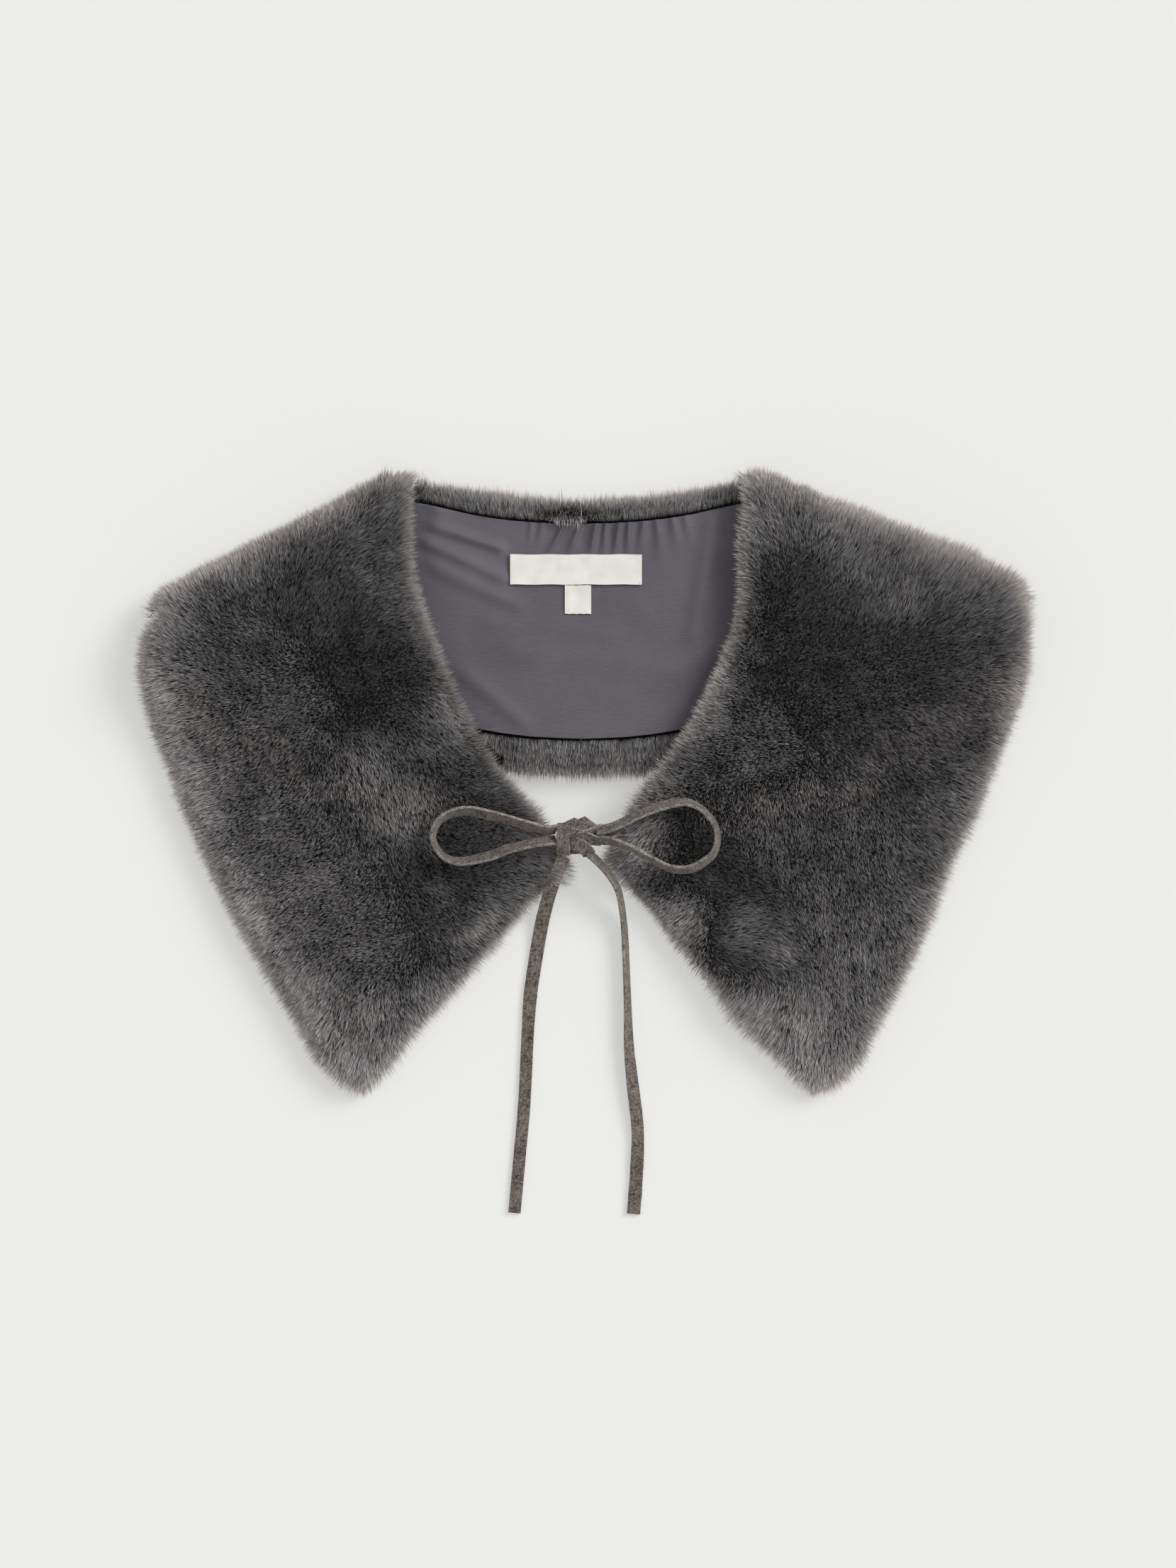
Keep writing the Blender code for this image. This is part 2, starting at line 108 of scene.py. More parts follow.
NAP_RIGHT = (
    (84, 134, 100, 52),
    (123, 115, 65, 64),
    (165, 98, 55, 60),
    (197, 79, 30, 62),
    (203, 40, 350, 62),
    (187, -5, 340, 60),
    (165, -56, 330, 58),
    (139, -105, 320, 58),
    (103, -135, 262, 62),
    (77, -105, 225, 60),
    (45, -60, 215, 55),
    (23, -27, 205, 52),
    (26, 8, 150, 52),
    (48, 40, 160, 58),
    (65, 82, 165, 60),
    (74, 118, 130, 52),
    (90, 74, 0, 5),
    (100, 82, 60, 28),
    (106, 53, 20, 10),
    (139, 85, 75, 42),
    (139, 50, 0, 10),
    (171, 60, 20, 28),
    (168, 27, 350, 28),
    (123, 18, 330, 16),
    (84, 15, 180, 24),
    (90, -24, 270, 28),
    (129, -24, 275, 28),
    (155, -24, 320, 36),
    (71, -66, 20, 55),
    (87, -73, 330, 45),
    (110, -63, 270, 34),
    (129, -79, 275, 40),
    (103, -105, 262, 46),
    (55, -40, 0, 28),
)
NAP_BACK = (
    (-60, 126, 95, 50),
    (-30, 121, 92, 50),
    (12, 119, 90, 40),
    (-11, 117.5, 262, 20),
    (-3, 117.5, 280, 22),
    (30, 121, 88, 50),
    (60, 126, 85, 50),
    (-50, 137, 95, 60),
    (-20, 131, 90, 60),
    (10, 131, 90, 60),
    (45, 136, 85, 60),
    (-30, 23, 270, 48),
    (0, 22, 270, 48),
    (30, 23, 270, 48),
    (-30, 11, 270, 60),
    (0, 9, 270, 60),
    (30, 11, 270, 60),
)
NAP_REACH = 11  # mm over which one place of the table gives way to the next
WING_FLOOR = 13.5 * MM  # fur higher than this belongs to a wing
BACK_HEM = (0.5 * MM, 74 * MM, 204.5 * MM)  # hem's y at the centre, its rise, and the x of that rise
BACK_REACH = 73 * MM  # and so does fur further than this from the centre back

# Places where the fur grows longer: x, y and radius in mm, then how much longer
GROWTHS = (
    (-194, 86, 10, -1.0),
    (-122, 121, 26, -0.9),
    (-84, 140, 9, -2.6),
    (-77, 138, 6, 6.0),
    (-37, 132, 14, 1.2),
    (-6, 118, 7, 1.6),
    (72, 137, 6, 4.0),
    (130, 124, 18, 1.8),
    (169, 107, 24, 4.4),
    (200, 80, 11, 5.0),
    (178, -20, 16, 1.8),
    (121, -133, 10, 2.6),
    (71, -107, 26, 4.2),
    (29, -57, 14, -2.2),
    (26, -6, 9, 2.2),
    (-22, -11, 9, 1.8),
    (-50, -86, 20, 1.0),
    (-88, -128, 12, 2.0),
    (-108, -137, 9, 1.6),
    (-15, -41, 6, 6.0),
)

# Places where the fur is lighter or darker: partly its own tone, partly painted highlights where the nap catches the
# light and painted shade on the side away from it; x, y and radius in mm, then the change of tone
FUR_TONE_AND_PAINTED_LIGHT_PATCHES = (
    # painted highlight where the nap catches the light
    (-98, 8, 9, 0.03),
    (-84, -14, 10, 0.02),
    (-58, 34, 12, 0.05),
    (-135, 24, 22, -0.05),
    (-160, 60, 30, -0.03),
    (-110, 62, 24, 0.04),
    (-100, -128, 22, 0.03),
    # painted highlight where the nap catches the light
    (71, -66, 9, 0.05),
    (66, 50, 9, 0.12),
    # painted shade on the right wing's neck edge, on the side away from the light
    (68, 76, 9, -0.18),
    (129, 40, 32, 0.09),
    (128, -30, 26, 0.02),
    (123, 112, 22, 0.06),
    (103, -128, 24, 0.08),
    (-34, 12, 17, -0.2),
    (0, 9, 18, -0.2),
    (34, 12, 17, -0.2),
    (-34, 128, 16, 0.06),
    (0, 124, 18, 0.06),
    (-3, 122, 8, 0.06),
    (34, 128, 16, 0.06),
)

# Suede
STRAP_WIDTH = 6 * MM
STRAP_THICKNESS = 1.4 * MM

# Routes of the straps, as in the part's source: x, y and z in mm, and the roll in degrees
KNOT_CENTRE = Vector((-2.0 * MM, -24.0 * MM, 17.4 * MM))
LOOP_LEFT = (
    (-11.4, -20.8, 19.2, 50),
    (-17.0, -21.0, 22.0, 55),
    (-24.5, -18.8, 24.2, 55),
    (-39.7, -14.8, 24.2, 50),
    (-52.6, -12.4, 23.2, 55),
    (-63.5, -16.2, 22.0, 68),
    (-67.2, -24.6, 20.4, 76),
    (-62.9, -32.6, 19.4, 70),
    (-54.8, -35.4, 19.0, 60),
    (-41.9, -33.0, 18.8, 52),
    (-33.2, -29.8, 21.2, 52),
    (-22.6, -27.2, 22.2, 55),
    (-16.0, -26.2, 21.2, 55),
    (-11.4, -25.8, 18.9, 50),
)
LOOP_RIGHT = (
    (7.4, -21.1, 19.4, 52),
    (12.0, -20.5, 20.8, 58),
    (18.0, -18.1, 24.0, 58),
    (31.6, -11.8, 26.6, 56),
    (45.2, -8.4, 25.6, 62),
    (53.4, -10.8, 23.6, 70),
    (59.6, -17.0, 22.4, 74),
    (61.8, -24.4, 20.8, 72),
    (59.8, -32.0, 19.4, 64),
    (53.2, -37.2, 18.6, 58),
    (47.0, -39.2, 18.4, 60),
    (39.4, -38.2, 18.6, 64),
    (29.4, -33.0, 20.4, 68),
    (21.0, -28.6, 21.8, 68),
    (13.0, -26.0, 20.4, 60),
    (7.4, -25.4, 17.6, 52),
)
TAIL_LEFT = (
    (-7.8, -33.4, 16.8, 24),
    (-9.2, -36.4, 16.5, 26),
    (-11.0, -40.4, 15.2, 26),
    (-12.8, -45.4, 12.9, 24),
    (-14.8, -51.5, 9.6, 20),
    (-16.6, -58.0, 5.6, 16),
    (-18.6, -67.0, 2.4, 8),
    (-21.3, -83.0, 1.2, 2),
    (-23.5, -99.0, 1.2, 2),
    (-24.8, -120.6, 1.2, 2),
    (-26.1, -146.8, 1.2, 2),
    (-28.1, -169.4, 1.2, 2),
    (-30.6, -196.5, 1.2, 2),
)
TAIL_RIGHT = (
    (3.6, -32.0, 17.0, 60),
    (7.0, -35.0, 17.6, 62),
    (10.8, -39.0, 16.8, 66),
    (14.4, -43.8, 16.0, 66),
    (17.2, -50.0, 12.0, 70),
    (19.0, -60.0, 6.6, 72),
    (20.0, -71.3, 4.2, 70),
    (20.7, -88.0, 3.8, 70),
    (21.3, -104.5, 3.7, 66),
    (21.8, -120.6, 3.4, 52),
    (23.4, -137.0, 3.0, 38),
    (25.5, -154.8, 2.3, 20),
    (25.8, -166.0, 1.8, 10),
    (25.0, -182.3, 1.4, 4),
    (23.9, -197.0, 1.3, 3),
)


class Value:
    """A socket in a shader, so that maths on it reads as Python."""

    def __init__(self, maker, socket):
        self.maker = maker
        self.socket = socket

    def _maths(self, operation, *values):
        return self.maker.node("ShaderNodeMath", {"operation": operation}, values)

    def __add__(self, other):
        return self._maths("ADD", self, other)

    def __radd__(self, other):
        return self._maths("ADD", other, self)

    def __sub__(self, other):
        return self._maths("SUBTRACT", self, other)

    def __rsub__(self, other):
        return self._maths("SUBTRACT", other, self)

    def __mul__(self, other):
        return self._maths("MULTIPLY", self, other)

    def __rmul__(self, other):
        return self._maths("MULTIPLY", other, self)

    def __truediv__(self, other):
        return self._maths("DIVIDE", self, other)

    def __pow__(self, other):
        return self._maths("POWER", self, other)


class Finish:
    """One material and the nodes that it is made of."""

    def __init__(self, name, roughness, **constants):
        self.material = bpy.data.materials.new(name)
        self.material.use_nodes = True
        self.tree = self.material.node_tree
        self.shader = self.tree.nodes["Principled BSDF"]
        self.shader.inputs["Roughness"].default_value = roughness
        for socket, value in constants.items():
            self.shader.inputs[socket.replace("_", " ")].default_value = value

    def node(self, kind, settings=None, values=(), output=0):
        """Adds a node: its settings first, then the values or links of its sockets."""
        made = self.tree.nodes.new(kind)
        for name, value in (settings or {}).items():
            if name == "stops":
                self._set_stops(made.color_ramp, value)
            else:
                setattr(made, name, value)
        named = values.items() if isinstance(values, dict) else enumerate(values)
        for key, value in named:
            self.feed(made.inputs[key], value)
        return Value(self, made.outputs[output])

    def _set_stops(self, ramp, stops):
        while len(ramp.elements) < len(stops):
            ramp.elements.new(1.0)
        for element, (place, colour) in zip(ramp.elements, stops):
            element.position = place
            element.color = (*colour, 1.0)

    def feed(self, socket, value):
        if isinstance(value, Value):
            self.tree.links.new(value.socket, socket)
        elif isinstance(value, tuple) and len(value) == 3 and socket.type == "RGBA":
            socket.default_value = (*value, 1.0)
        else:
            socket.default_value = value

    def mix(self, share, first, second, blend="MIX"):
        settings = {"data_type": "RGBA", "blend_type": blend}
        return self.node("ShaderNodeMix", settings, {0: share, 6: first, 7: second}, output=2)

    def ramp(self, share, stops):
        return self.node("ShaderNodeValToRGB", {"stops": stops}, (share,))

    def noise(self, place, scale, detail=3.0, roughness=0.5):
        values = {"Vector": place, "Scale": scale, "Detail": detail, "Roughness": roughness}
        return self.node("ShaderNodeTexNoise", {}, values)

    def place(self):
        return self.node("ShaderNodeTexCoord", output="Object")

    def map(self, name):
        return self.node("ShaderNodeUVMap", {"uv_map": name})

    def parts(self, vector):
        made = self.node("ShaderNodeSeparateXYZ", {}, (vector,))
        outputs = made.socket.node.outputs
        return [Value(self, outputs[axis]) for axis in range(3)]

    def colour(self, value):
        self.feed(self.shader.inputs["Base Color"], value)

    def roughness(self, value):
        self.feed(self.shader.inputs["Roughness"], value)

    def bump(self, height, strength, distance):
        values = {"Height": height, "Strength": strength, "Distance": distance}
        normal = self.node("ShaderNodeBump", {}, values)
        self.feed(self.shader.inputs["Normal"], normal)


TONE_BANDS = 24  # strand map: bands of tone and painted light along U, hue inside a band, root to tip along V


def fur_strand_finish():
    """Colour of a strand by its place on the strand map."""
    finish = Finish("plush_strand", 0.62, Specular_IOR_Level=0.35)
    u, v, _ = finish.parts(finish.map("OFBake"))
    scaled = u * TONE_BANDS
    hue = finish.node("ShaderNodeMath", {"operation": "FRACT"}, (scaled,))
    tone_and_painted_light = (scaled - hue) / (TONE_BANDS - 1)
    cool = finish.ramp(v, [(0.0, (0.014, 0.014, 0.015)), (0.5, (0.118, 0.119, 0.125)), (1.0, (0.37, 0.376, 0.397))])
    warm = finish.ramp(v, [(0.0, (0.014, 0.014, 0.014)), (0.5, (0.130, 0.119, 0.111)), (1.0, (0.43, 0.396, 0.365))])
    blended = finish.mix(hue, cool, warm)
    shade = 0.12 + tone_and_painted_light * 2.3
    grey = finish.node("ShaderNodeCombineColor", {}, (shade, shade, shade))
    finish.colour(finish.mix(1.0, blended, grey, "MULTIPLY"))
    return finish.material


def fur_base_finish():
    """The dark backing that is seen only deep between strands."""
    finish = Finish("plush_backing", 0.95, Specular_IOR_Level=0.1)
    speck = finish.noise(finish.place(), 900.0)
    finish.colour(finish.ramp(speck, [(0.3, (0.020, 0.020, 0.021)), (0.7, (0.045, 0.044, 0.044))]))
    return finish.material


def lining_finish():
    """Fine diagonal twill in grey violet, with soft variation."""
    finish = Finish("twill_lining", 0.42, Specular_IOR_Level=0.35, Sheen_Weight=0.5, Sheen_Roughness=0.35)
    place = finish.place()
    x, y, _ = finish.parts(place)
    rib = finish.node("ShaderNodeMath", {"operation": "SINE"}, ((x + y * 0.8) * 6800.0,))
    yarn = finish.node("ShaderNodeMath", {"operation": "SINE"}, ((x * 0.8 - y) * 9500.0,))
    weave = rib * 0.5 + yarn * 0.25
    cloud = finish.noise(place, 26.0, 4.0)
    slub = finish.noise(finish.node("ShaderNodeVectorMath", {"operation": "MULTIPLY"}, (place, (60.0, 900.0, 60.0))), 3.0)
    mask = cloud * 0.7 + slub * 0.3 + weave * 0.12
    stops = [(0.25, (0.082, 0.076, 0.090)), (0.5, (0.104, 0.097, 0.113)), (0.8, (0.134, 0.125, 0.145))]
    finish.colour(finish.ramp(mask, stops))
    finish.roughness(0.40 + slub * 0.12)
    finish.bump(weave * 0.6 + slub * 1.6, 0.9, 0.00018)
    return finish.material


def label_finish():
    """Off-white woven tape."""
    finish = Finish("woven_label", 0.75, Specular_IOR_Level=0.25, Sheen_Weight=0.15)
    place = finish.place()
    x, y, _ = finish.parts(place)
    warp = finish.node("ShaderNodeMath", {"operation": "SINE"}, (x * 15000.0,))
    weft = finish.node("ShaderNodeMath", {"operation": "SINE"}, (y * 15000.0,))
    weave = warp * weft
    cloud = finish.noise(place, 120.0)
    finish.colour(finish.ramp(cloud + weave * 0.1, [(0.3, (0.74, 0.72, 0.67)), (0.7, (0.86, 0.84, 0.79))]))
    finish.bump(weave, 0.4, 0.0001)
    return finish.material


def thread_finish():
    finish = Finish("sewing_thread", 0.6, Specular_IOR_Level=0.3)
    twist = finish.noise(finish.place(), 2500.0)
    finish.colour(finish.ramp(twist, [(0.3, (0.42, 0.40, 0.37)), (0.7, (0.66, 0.64, 0.60))]))
    return finish.material


def suede_finish(name, dark, light):
    """Napped suede, speckled warm and cool."""
    finish = Finish(name, 0.95, Specular_IOR_Level=0.15, Sheen_Weight=0.25, Sheen_Roughness=0.5)
    place = finish.place()
    nap = finish.noise(place, 950.0, 6.0, 0.75)
    blotch = finish.noise(place, 240.0, 3.0)
    finish.colour(finish.ramp(nap * 0.8 + blotch * 0.2, [(0.41, dark), (0.60, light)]))
    finish.bump(nap, 0.7, 0.0004)
    return finish.material


def floor_finish():
    """Pale board, lit through from behind so that shadows on it stay light."""
    finish = Finish("pale_board", 0.9, Specular_IOR_Level=0.1, Emission_Strength=1.0)
    finish.shader.inputs["Emission Color"].default_value = (0.425, 0.425, 0.417, 1.0)
    grain = finish.noise(finish.place(), 14.0)
    finish.colour(finish.ramp(grain, [(0.0, (0.405, 0.405, 0.398)), (1.0, (0.411, 0.411, 0.404))]))
    return finish.material


def add_mesh(name, points, faces, finish, uvs=None, smooth=True):
    """A mesh object from arrays of points and equal-sided faces."""
    mesh = bpy.data.meshes.new(name)
    points = np.asarray(points, np.float32)
    faces = np.asarray(faces, np.int32)
    sides = faces.shape[1]
    mesh.vertices.add(len(points))
    mesh.vertices.foreach_set("co", points.ravel())
    mesh.loops.add(faces.size)
    mesh.loops.foreach_set("vertex_index", faces.ravel())
    mesh.polygons.add(len(faces))
    mesh.polygons.foreach_set("loop_start", np.arange(0, faces.size, sides, dtype=np.int32))
    mesh.polygons.foreach_set("loop_total", np.full(len(faces), sides, np.int32))
    mesh.update()
    if uvs is not None:
        layer = mesh.uv_layers.new(name="OFBake")
        layer.uv.foreach_set("vector", np.asarray(uvs, np.float32)[faces.ravel()].ravel())
    if smooth:
        mesh.shade_smooth()
    mesh.materials.append(finish)
    made = bpy.data.objects.new(name, mesh)
    bpy.context.scene.collection.objects.link(made)
    return made


def unit(vectors):
    return vectors / np.maximum(np.linalg.norm(vectors, axis=1, keepdims=True), 1e-9)


class Form:
    """A CAD solid as arrays: triangles, smooth normals and how deep its fur can be rooted."""

    def __init__(self, node):
        shape = bmesh.new()
        shape.from_mesh(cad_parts[node].data)
        bmesh.ops.remove_doubles(shape, verts=shape.verts, dist=1e-6)
        bmesh.ops.triangulate(shape, faces=shape.faces)
        shape.normal_update()
        self.tree = BVHTree.FromBMesh(shape)
        self.points = np.array([vertex.co for vertex in shape.verts])
        self.normals = np.array([vertex.normal for vertex in shape.verts])
        seam = np.abs(self.points[:, 0] - SEAM_X) < SEAM_REACH
        self.normals[seam, 0] = 0
        self.normals = unit(self.normals)
        self.faces = np.array([[vertex.index for vertex in face.verts] for face in shape.faces])
        shape.free()
        corners = self.points[self.faces]
        cross = np.cross(corners[:, 1] - corners[:, 0], corners[:, 2] - corners[:, 0])
        self.areas = np.linalg.norm(cross, axis=1) / 2
        self.facing = unit(cross)
        self.depths = np.array([self._depth(p, n) for p, n in zip(self.points, self.normals)])

    def _depth(self, point, normal):
        start = Vector(point - normal * 1e-5)
        _, _, _, distance = self.tree.ray_cast(start, Vector(-normal))
        return min(FUR_DEPTH, 0.42 * (distance or 0.0))


def furry_faces(form, lining):
    """Which faces carry fur that shows: neither the lining's recess, the seam nor inside the fold."""
    centres = form.points[form.faces].mean(axis=1)
    kept = np.ones(len(centres), bool)
    for index, (centre, facing) in enumerate(zip(centres, form.facing)):
        _, _, _, near = lining.tree.find_nearest(Vector(centre), 0.5 * MM)
        way = Vector((0, 0, 1 if facing[2] > 0 else -1))
        _, _, _, cover = form.tree.ray_cast(Vector(centre + facing * 0.1 * MM), way, 40 * MM)
        if near is not None or (cover is not None and abs(facing[2]) > 0.35):
            kept[index] = False
    seam = (np.abs(form.facing[:, 0]) > 0.95) & (np.abs(centres[:, 0] - SEAM_X) < SEAM_REACH)
    return kept & ~seam


def waves(places, lengths, rng, count=14):
    """A smooth field between about -1 and 1, from waves of the given lengths in random directions."""
    total = np.zeros(len(places))
    for _ in range(count):
        length = rng.uniform(*lengths) * MM
        turn = rng.uniform(0, math.pi)
        phase = rng.uniform(0, 2 * math.pi)
        run = places[:, 0] * math.cos(turn) + places[:, 1] * math.sin(turn)
        total += np.sin(run / length * 2 * math.pi + phase)
    return total / math.sqrt(count / 2) / 1.6


def groomed(places, table):
    """Where the tips lean at each place, as a horizontal share of a unit vector."""
    rows = np.array(table, float)
    heading = np.radians(rows[:, 2])
    lean = np.sin(np.radians(rows[:, 3]))
    pulls = np.stack((np.cos(heading) * lean, np.sin(heading) * lean), axis=1)
    apart = ((places[:, None, :2] / MM - rows[None, :, :2]) ** 2).sum(axis=2)
    weights = (apart + NAP_REACH**2 / 3) ** -1.6
    weights /= weights.sum(axis=1, keepdims=True)
    return weights @ pulls


def growth(places):
    """How much longer the fur grows at the places of the table."""
    total = np.zeros(len(places))
    for x, y, radius, more in GROWTHS:
        apart = np.hypot(places[:, 0] / MM - x, places[:, 1] / MM - y)
        total += more * MM * np.exp(-((apart / radius) ** 2))
    return total


def strand_points(form, faces, count, rng, side):
    """Root, middle and tip of each strand, with its width direction and its tone, which carries painted light as
    well.
    """
    weights = form.areas[faces]
    weights = weights / weights.sum()
    chosen = faces[rng.choice(len(faces), count, p=weights)]
    a = np.sqrt(rng.random(count))[:, None]
    b = rng.random(count)[:, None]
    mix = np.hstack((1 - a, a * (1 - b), a * b))
    corners = form.faces[chosen]
    surface = (form.points[corners] * mix[:, :, None]).sum(axis=1)
    normal = unit((form.normals[corners] * mix[:, :, None]).sum(axis=1))
    depth = (form.depths[corners] * mix).sum(axis=1)

    sideways = np.linalg.norm(normal[:, :2], axis=1)
    edge = np.clip((sideways - 0.15) / 0.6, 0, 1)
    pressed = normal[:, 2] < -0.3
    field_rng = np.random.default_rng(SEED)
    hem = BACK_HEM[0] + BACK_HEM[1] * (surface[:, 0] / BACK_HEM[2]) ** 2
    wing = (surface[:, 2] > WING_FLOOR) | (np.abs(surface[:, 0]) > BACK_REACH) | (surface[:, 1] < hem)
    wing_nap = groomed(surface, NAP_LEFT if side < 0 else NAP_RIGHT)
    lean = np.where(wing[:, None], wing_nap, groomed(surface, NAP_BACK))
    laid = np.linalg.norm(lean, axis=1)
    lean *= 1.12
    lean[:, 0] += 0.10 * waves(surface, (7, 22), field_rng) + rng.normal(0, 0.15, count)
    lean[:, 1] += 0.10 * waves(surface, (7, 22), field_rng) + rng.normal(0, 0.15, count)
    outward = unit(normal[:, :2] + 1e-6)
    agree = np.clip(0.6 + 1.2 * (outward * lean).sum(axis=1), 0, 1)
    edge *= agree
    normal[:, :2] *= agree[:, None]
    normal = unit(normal)
    rim = (edge * 0.7)[:, None]
    lean = lean * (1 - rim) + outward * rim * 0.92
    size = np.linalg.norm(lean, axis=1, keepdims=True)
    lean *= np.minimum(1, 0.93 / np.maximum(size, 1e-6))
    rise = np.sqrt(1 - (lean**2).sum(axis=1))
    heading = np.column_stack((lean, np.where(pressed, 0.0, rise)))
    first = unit(normal * 0.95 + heading * 0.45)
    second = unit(heading + normal * np.where(pressed, 0.25, 0.12)[:, None])

    depth = depth + EDGE_DEPTH * edge * (depth > 3 * MM)
    climb = np.maximum(((first + second) / 2 * normal).sum(axis=1), 0.35)
    reach = depth + TIP_RISE + FRINGE_RISE * edge + growth(surface)
    uneven = 1.06 - (0.16 + 0.40 * edge) * rng.beta(1.3, 1.5, count)
    length = np.clip(reach / climb, *FUR_LENGTHS) * uneven
    root = surface - normal * depth[:, None]
    middle = root + first * (length * 0.5)[:, None]
    tip = middle + second * (length * 0.5)[:, None]
    middle, tip = clumped(root, middle, tip, rng)
    for points in (root, middle, tip):
        points[:, 2] = np.maximum(points[:, 2], FLOOR_CLEARANCE)

    turn = rng.uniform(-1.2, 1.2, count)[:, None]
    across = unit(np.cross(second, normal) + 1e-9)
    width = across * np.cos(turn) + np.cross(across, second) * np.sin(turn)
    # painted sheen: the tone follows how far the nap lies over, lighter where it lies flat and where it stands
    # upright
    tone_and_painted_light = 0.33 + 0.14 * np.clip((0.42 - laid) / 0.35, 0, 1) + 0.17 * np.clip((laid - 0.42) / 0.45, 0, 1)
    # painted light: the fringe round the outline is made lighter, as light falls on and through its thin strands
    tone_and_painted_light += 0.36 * edge
    tone_and_painted_light += 0.04 * waves(surface, (18, 50), field_rng)
    # patches of the fur's own tone, painted highlights and painted shade
    for x, y, radius, change in FUR_TONE_AND_PAINTED_LIGHT_PATCHES:
        apart = np.hypot(surface[:, 0] / MM - x, surface[:, 1] / MM - y)
        tone_and_painted_light += change * np.exp(-((apart / radius) ** 2))
    tone_and_painted_light *= rng.lognormal(0, 0.34, count)
    hue = np.clip(rng.normal(0.42, 0.22, count) + 0.30 * edge, 0.12, 0.88)
    return root, middle, tip, width, np.clip(tone_and_painted_light, 0.02, 0.98), hue


def clumped(root, middle, tip, rng):
    """Draws the strands of each small clump together towards their common tip."""
    seeds = max(8, int(len(root) / 11))
    picked = rng.choice(len(root), seeds, replace=False)
    tree = KDTree(seeds)
    for index, strand in enumerate(picked):
        tree.insert(root[strand], index)
    tree.balance()
    clump = np.array([tree.find(point)[1] for point in root])
    count = np.maximum(np.bincount(clump, minlength=seeds), 1)[:, None]
    pulls = rng.uniform(0.0, 0.36, seeds)[clump][:, None]
    for points, share in ((middle, 0.4), (tip, 1.0)):
        centre = np.stack([np.bincount(clump, points[:, axis], seeds) for axis in range(3)], axis=1) / count
        points += (centre[clump] - points) * pulls * share
    return middle, tip


def add_strands(name, form, faces, count, finish, seed, side):
    """Fur strands as bent blades: a root, two points at the middle and a tip."""
    rng = np.random.default_rng(seed)
    root, middle, tip, width, tone_and_painted_light, hue = strand_points(form, faces, count, rng, side)
    half = STRAND_WIDTH / 2 * rng.uniform(0.7, 1.3, count)[:, None]
    points = np.stack((root, middle - width * half, middle + width * half, tip), axis=1).reshape(-1, 3)
    base = np.arange(count)[:, None, None] * 4
    triangles = (base + np.array([[0, 2, 1], [1, 2, 3]])[None]).reshape(-1, 3)
    band = np.floor(tone_and_painted_light * TONE_BANDS)
    u = (band + hue) / TONE_BANDS
    spread = 0.08 / TONE_BANDS
    uvs = np.stack(
        [
            np.stack((u + spread * way, np.full(count, height)), axis=1)
            for way, height in ((0, 0.01), (-1, 0.5), (1, 0.5), (0, 0.99))
        ],
        axis=1,
    ).reshape(-1, 2)
    made = add_mesh(name, points, triangles, finish, uvs)
    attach(made, "root")
    return made


def add_backing(name, form, node, finish):
    """The cloth that the fur is rooted in: the solid's form, drawn in by the depth of the pile."""
    inner = form.points - form.normals * (form.depths * 0.97)[:, None]
    made = add_mesh(name, inner, form.faces, finish)
    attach(made, "root")
    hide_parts(node)
    return made


def add_fur(side, word, lining):
    node = f"fur_half_{word}"
    form = Form(node)
    furry = np.flatnonzero(furry_faces(form, lining))
    down = form.facing[furry, 2] < -0.35
    upper = furry[~down]
    lower = furry[down]
    strand = FINISHES["strand"]
    add_backing(f"fur_backing_{word}", form, node, FINISHES["backing"])
    centres = form.points[form.faces[upper]].mean(axis=1)
    split = np.median(centres[:, 1])
    near = upper[centres[:, 1] <= split]
    far = upper[centres[:, 1] > split]
    add_strands(f"fur_{word}_front", form, near, TOP_STRANDS, strand, SEED + side + 2, side)
    add_strands(f"fur_{word}_shoulder", form, far, TOP_STRANDS, strand, SEED + side + 12, side)
    add_strands(f"fur_{word}_under", form, lower, UNDER_STRANDS, strand, SEED + side + 22, side)


def hermite(rows, place):
    """The row at a place counted in rows, on a smooth curve through all of them."""
    index = min(int(place), len(rows) - 2)
    share = place - index
    before = rows[max(index - 1, 0)]
    after = rows[min(index + 2, len(rows) - 1)]
    b = rows[index]
    c = rows[index + 1]
    slope_b = (c - before) / 2
    slope_c = (after - b) / 2
    bend = 3 * (c - b) - 2 * slope_b - slope_c
    return b + slope_b * share + bend * share**2 + (2 * (b - c) + slope_b + slope_c) * share**3


# The strap's section: across and thick, as shares of the half width and half thickness
SECTION = (
    (-1.0, -0.55),
    (-0.94, -1.0),
    (-0.5, -1.0),
    (0.0, -1.0),
    (0.5, -1.0),
    (0.94, -1.0),
    (1.0, -0.55),
    (1.0, 0.55),
    (0.94, 1.0),
    (0.5, 1.0),
    (0.0, 1.0),
    (-0.5, 1.0),
    (-0.94, 1.0),
    (-1.0, 0.55),
)
CUT_EDGE_SIDES = (0, 5, 6, 7, 12, 13)  # sides of the section on the strap's cut edges


